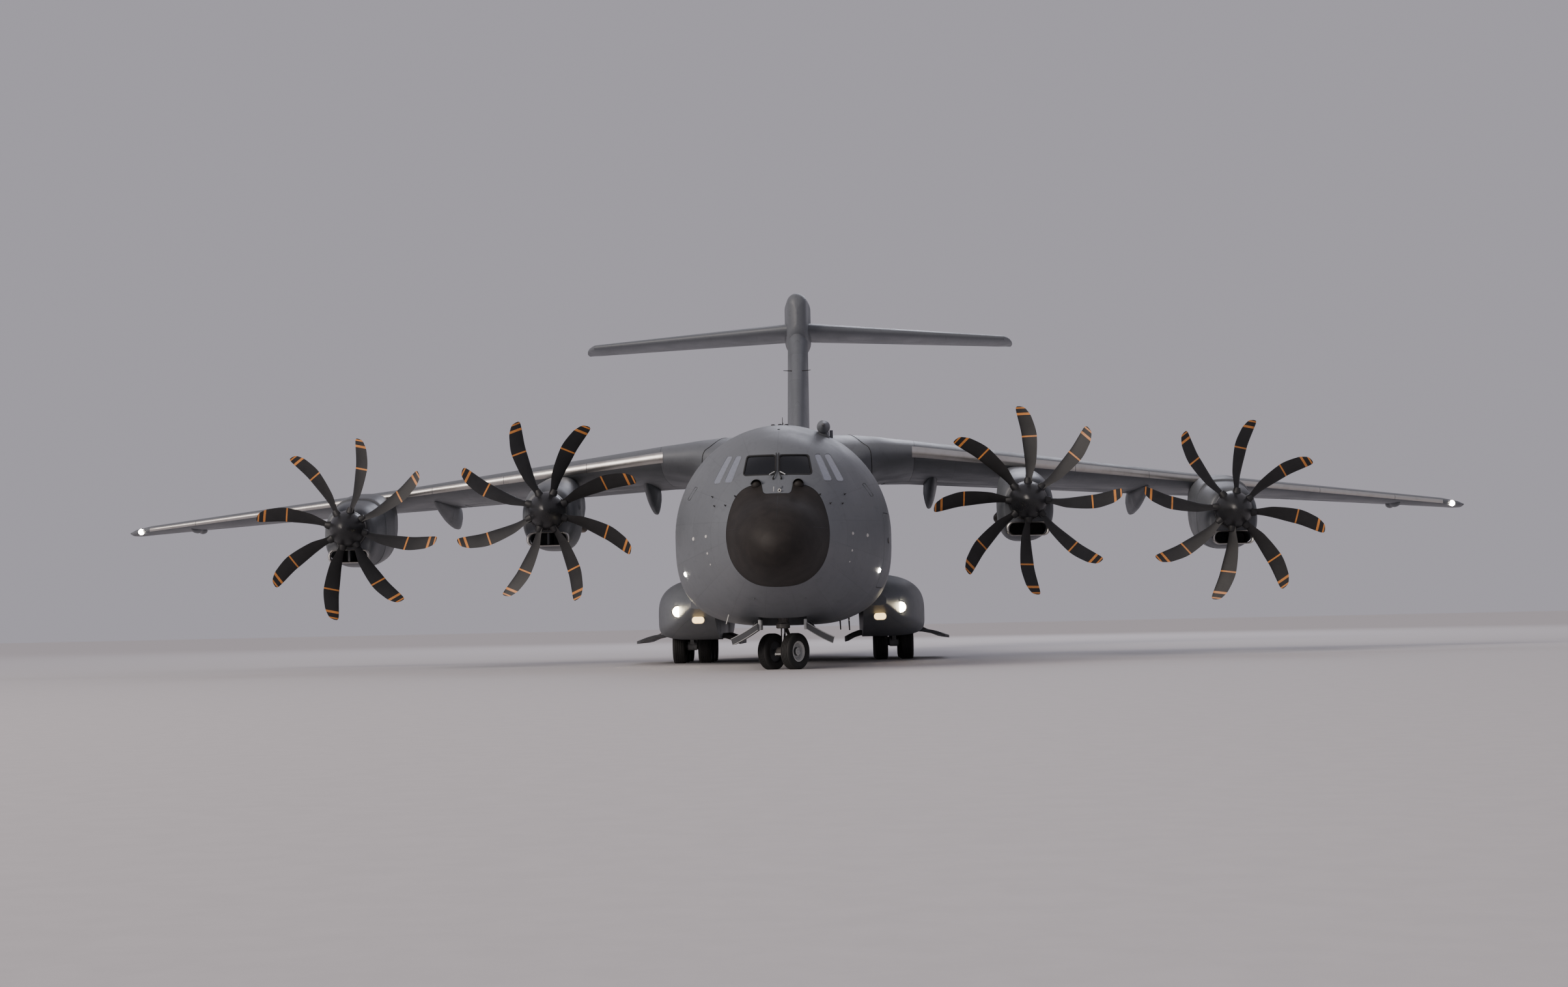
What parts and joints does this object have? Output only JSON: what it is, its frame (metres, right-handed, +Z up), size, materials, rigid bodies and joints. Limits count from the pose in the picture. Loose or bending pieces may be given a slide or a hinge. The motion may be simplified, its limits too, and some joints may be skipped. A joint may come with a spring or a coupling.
{
  "type": "military transport plane, 1:2 scale model",
  "caption": "High-wing turboprop military transport plane with T-tail, hollow cargo hold, rear ramp, crew door and lowered landing gear, as a scale model.",
  "frame": {"origin": "on the ground under the middle of the plane's overall box, halfway from nose tip to tail end", "axes": "+X to the plane's port side, +Y aft from nose to tail, +Z up"},
  "size_m": [21.2, 22.55, 7.35],
  "materials": {
    "airframe_paint": "satin grey",
    "dark_paint": "matt dark grey",
    "radome_paint": "matt near-black",
    "leading_edge_metal": "brushed bare metal",
    "propeller_blade": "satin black",
    "blade_stripe": "satin orange",
    "spinner_paint": "satin dark grey",
    "tyre_rubber": "matt",
    "gear_paint": "satin pale grey",
    "strut_chrome": "polished",
    "cockpit_glass": "polished, tinted",
    "deck_lining": "matt dark grey",
    "lamp_glass": "clear",
    "exhaust_metal": "heat-stained",
    "aerial_plastic": "matt black",
    "seal_rubber": "matt"
  },
  "bodies": {
    "root": {"radome": "radome_paint", "nose_fuselage": "airframe_paint", "cockpit_glazing": "cockpit_glass", "flight_deck": "deck_lining", "barrel_crown": "airframe_paint", "barrel_side_port": "airframe_paint", "barrel_side_starboard": "airframe_paint", "cargo_floor": "airframe_paint", "tail_fuselage": "airframe_paint", "wing_centre": "airframe_paint", "wing_port": "airframe_paint", "wing_starboard": "airframe_paint", "nacelle_inner_port": "airframe_paint", "nacelle_inner_starboard": "airframe_paint", "nacelle_outer_port": "airframe_paint", "nacelle_outer_starboard": "airframe_paint", "tailplane": "airframe_paint", "fin": "airframe_paint", "sponson_port": "airframe_paint", "sponson_starboard": "airframe_paint", "main_gear_legs_port": "gear_paint", "main_gear_legs_starboard": "gear_paint", "main_gear_door_inner_port": "airframe_paint", "main_gear_door_inner_starboard": "airframe_paint", "main_gear_door_outer_port": "airframe_paint", "main_gear_door_outer_starboard": "airframe_paint", "nose_gear_leg": "gear_paint", "nose_gear_door_port": "airframe_paint", "nose_gear_door_starboard": "airframe_paint", "refuelling_probe": "dark_paint"},
    "crew_door": {"crew_door": "airframe_paint"},
    "cargo_ramp": {"cargo_ramp": "airframe_paint"},
    "cargo_door": {"cargo_door": "airframe_paint"},
    "flap_inner_port": {"flap_inner_port": "airframe_paint"},
    "flap_inner_starboard": {"flap_inner_starboard": "airframe_paint"},
    "flap_outer_port": {"flap_outer_port": "airframe_paint"},
    "flap_outer_starboard": {"flap_outer_starboard": "airframe_paint"},
    "aileron_port": {"aileron_port": "airframe_paint"},
    "aileron_starboard": {"aileron_starboard": "airframe_paint"},
    "propeller_outer_port": {"propeller_outer_port": "propeller_blade"},
    "propeller_inner_port": {"propeller_inner_port": "propeller_blade"},
    "propeller_inner_starboard": {"propeller_inner_starboard": "propeller_blade"},
    "propeller_outer_starboard": {"propeller_outer_starboard": "propeller_blade"},
    "elevator_port": {"elevator_port": "airframe_paint"},
    "elevator_starboard": {"elevator_starboard": "airframe_paint"},
    "rudder": {"rudder": "airframe_paint"},
    "main_wheels_front_port": {"main_wheels_front_port": "tyre_rubber"},
    "main_wheels_middle_port": {"main_wheels_middle_port": "tyre_rubber"},
    "main_wheels_rear_port": {"main_wheels_rear_port": "tyre_rubber"},
    "main_wheels_front_starboard": {"main_wheels_front_starboard": "tyre_rubber"},
    "main_wheels_middle_starboard": {"main_wheels_middle_starboard": "tyre_rubber"},
    "main_wheels_rear_starboard": {"main_wheels_rear_starboard": "tyre_rubber"},
    "nose_gear_fork": {"nose_gear_fork": "strut_chrome"},
    "nose_wheels": {"nose_wheels": "tyre_rubber"}
  },
  "joints": [
    {"name": "crew_door_hinge", "type": "hinge", "parent": "root", "child": "crew_door", "pos_m": [1.22311, -8.2625, 1], "axis": [0.1967, 0.9805, 0], "range_deg": [0, 130]},
    {"name": "cargo_ramp_hinge", "type": "hinge", "parent": "root", "child": "cargo_ramp", "pos_m": [0, 1.6, 0.58107], "axis": [-1, 0, 0], "range_deg": [0, 24]},
    {"name": "cargo_door_hinge", "type": "hinge", "parent": "root", "child": "cargo_door", "pos_m": [0, 5.525, 1.4787], "axis": [-1, 0, 0], "range_deg": [0, 40]},
    {"name": "flap_inner_port_hinge", "type": "hinge", "parent": "root", "child": "flap_inner_port", "pos_m": [3.35, -1.68044, 2.28635], "axis": [-0.9953, -0.061, 0.0747], "range_deg": [0, 35]},
    {"name": "flap_inner_starboard_hinge", "type": "hinge", "parent": "root", "child": "flap_inner_starboard", "pos_m": [-3.35, -1.68044, 2.28635], "axis": [-0.9953, 0.061, -0.0747], "range_deg": [0, 35]},
    {"name": "flap_outer_port_hinge", "type": "hinge", "parent": "root", "child": "flap_outer_port", "pos_m": [6.6625, -1.34308, 2.13198], "axis": [-0.9841, -0.1635, 0.07], "range_deg": [0, 35]},
    {"name": "flap_outer_starboard_hinge", "type": "hinge", "parent": "root", "child": "flap_outer_starboard", "pos_m": [-6.6625, -1.34308, 2.13198], "axis": [-0.9841, 0.1635, -0.07], "range_deg": [0, 35]},
    {"name": "aileron_port_hinge", "type": "hinge", "parent": "root", "child": "aileron_port", "pos_m": [9.15, -0.85896, 2.36617], "axis": [-0.9788, -0.1936, 0.0663], "range_deg": [-25, 20]},
    {"name": "aileron_starboard_hinge", "type": "hinge", "parent": "root", "child": "aileron_starboard", "pos_m": [-9.15, -0.85896, 2.36617], "axis": [-0.9788, 0.1936, -0.0663], "range_deg": [-25, 20]},
    {"name": "propeller_outer_port_turn", "type": "hinge", "parent": "root", "child": "propeller_outer_port", "pos_m": [6.485, -4.325, 2.09], "axis": [0, 1, 0], "continuous": true},
    {"name": "propeller_inner_port_turn", "type": "hinge", "parent": "root", "child": "propeller_inner_port", "pos_m": [3.415, -5.275, 2.24], "axis": [0, 1, 0], "continuous": true},
    {"name": "propeller_inner_starboard_turn", "type": "hinge", "parent": "root", "child": "propeller_inner_starboard", "pos_m": [-3.415, -5.275, 2.24], "axis": [0, 1, 0], "continuous": true},
    {"name": "propeller_outer_starboard_turn", "type": "hinge", "parent": "root", "child": "propeller_outer_starboard", "pos_m": [-6.485, -4.325, 2.09], "axis": [0, 1, 0], "continuous": true},
    {"name": "elevator_port_hinge", "type": "hinge", "parent": "root", "child": "elevator_port", "pos_m": [2.3875, 10.43192, 6.57139], "axis": [-0.98, -0.1968, 0.0282], "range_deg": [-25, 20]},
    {"name": "elevator_starboard_hinge", "type": "hinge", "parent": "root", "child": "elevator_starboard", "pos_m": [-2.3875, 10.43192, 6.57139], "axis": [-0.98, 0.1968, -0.0282], "range_deg": [-25, 20]},
    {"name": "rudder_hinge", "type": "hinge", "parent": "root", "child": "rudder", "pos_m": [0, 8.65972, 4.7125], "axis": [0, 0.4632, 0.8863], "range_deg": [-25, 25]},
    {"name": "main_wheels_front_port_turn", "type": "hinge", "parent": "root", "child": "main_wheels_front_port", "pos_m": [1.54, -2.725, 0.26321], "axis": [1, 0, 0], "continuous": true},
    {"name": "main_wheels_middle_port_turn", "type": "hinge", "parent": "root", "child": "main_wheels_middle_port", "pos_m": [1.54, -1.85, 0.26321], "axis": [1, 0, 0], "continuous": true},
    {"name": "main_wheels_rear_port_turn", "type": "hinge", "parent": "root", "child": "main_wheels_rear_port", "pos_m": [1.54, -0.975, 0.26321], "axis": [1, 0, 0], "continuous": true},
    {"name": "main_wheels_front_starboard_turn", "type": "hinge", "parent": "root", "child": "main_wheels_front_starboard", "pos_m": [-1.54, -2.725, 0.26321], "axis": [1, 0, 0], "continuous": true},
    {"name": "main_wheels_middle_starboard_turn", "type": "hinge", "parent": "root", "child": "main_wheels_middle_starboard", "pos_m": [-1.54, -1.85, 0.26321], "axis": [1, 0, 0], "continuous": true},
    {"name": "main_wheels_rear_starboard_turn", "type": "hinge", "parent": "root", "child": "main_wheels_rear_starboard", "pos_m": [-1.54, -0.975, 0.26321], "axis": [1, 0, 0], "continuous": true},
    {"name": "nose_gear_steering", "type": "hinge", "parent": "root", "child": "nose_gear_fork", "pos_m": [0, -8.8, 0.35], "axis": [0, 0, 1], "range_deg": [-24, 96]},
    {"name": "nose_wheels_turn", "type": "hinge", "parent": "nose_gear_fork", "child": "nose_wheels", "pos_m": [0, -8.8, 0.22216], "axis": [0.809, -0.5878, 0], "continuous": true}
  ]
}
